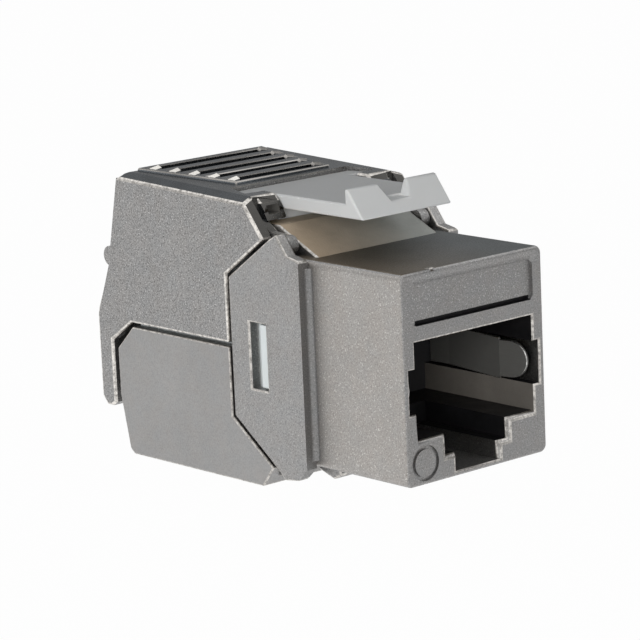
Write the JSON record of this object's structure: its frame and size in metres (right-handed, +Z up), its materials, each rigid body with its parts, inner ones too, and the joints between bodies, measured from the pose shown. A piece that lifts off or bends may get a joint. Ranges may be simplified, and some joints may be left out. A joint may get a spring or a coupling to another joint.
{
  "type": "keystone jack",
  "caption": "Shielded modular jack with a die-cast metal shell, a sprung panel latch and two hinged covers over its wiring end.",
  "frame": {"origin": "middle of the lower edge of the port face, in the plane of the face", "axes": "+Y from the port face to the cable end, +Z up to the latch side, +X to the right seen from behind"},
  "size_m": [0.0166, 0.0348, 0.0232],
  "materials": {
    "zinc_shell": "satin",
    "white_plastic": "matte",
    "gold_contact": "polished",
    "board_laminate": "satin",
    "tinned_bronze": "satin",
    "spring_steel": "satin"
  },
  "bodies": {
    "housing": {"front_housing": "zinc_shell", "contact_carrier": "white_plastic", "contact_comb": "white_plastic", "port_contact_1": "gold_contact", "port_contact_2": "gold_contact", "port_contact_3": "gold_contact", "port_contact_4": "gold_contact", "port_contact_5": "gold_contact", "port_contact_6": "gold_contact", "port_contact_7": "gold_contact", "port_contact_8": "gold_contact", "circuit_board": "board_laminate", "wiring_block": "white_plastic", "wiring_blade_1": "tinned_bronze", "wiring_blade_2": "tinned_bronze", "wiring_blade_3": "tinned_bronze", "wiring_blade_4": "tinned_bronze", "wiring_blade_5": "tinned_bronze", "wiring_blade_6": "tinned_bronze", "wiring_blade_7": "tinned_bronze", "wiring_blade_8": "tinned_bronze", "wire_holder": "white_plastic", "shield_leaf_right": "spring_steel", "shield_leaf_left": "spring_steel"},
    "upper_cover": {"upper_cover": "zinc_shell", "screen_clip": "spring_steel"},
    "lower_cover": {"lower_cover": "zinc_shell"},
    "panel_latch": {"keystone_latch": "white_plastic"}
  },
  "joints": [
    {"name": "upper_cover_hinge", "type": "hinge", "parent": "housing", "child": "upper_cover", "pos_m": [0, 0.01275, 0.01675], "axis": [1, 0, 0], "range_deg": [0, 95]},
    {"name": "lower_cover_hinge", "type": "hinge", "parent": "housing", "child": "lower_cover", "pos_m": [0, 0.01285, -0.0003], "axis": [1, 0, 0], "range_deg": [-95, 0]},
    {"name": "latch_flex", "type": "hinge", "parent": "housing", "child": "panel_latch", "pos_m": [0, 0.017, 0.01725], "axis": [1, 0, 0], "range_deg": [0, 9], "stiffness_Nm_per_rad": 0.05}
  ],
  "couplings": [
    {"joint": "lower_cover_hinge", "follows": "upper_cover_hinge", "ratio": -1}
  ]
}
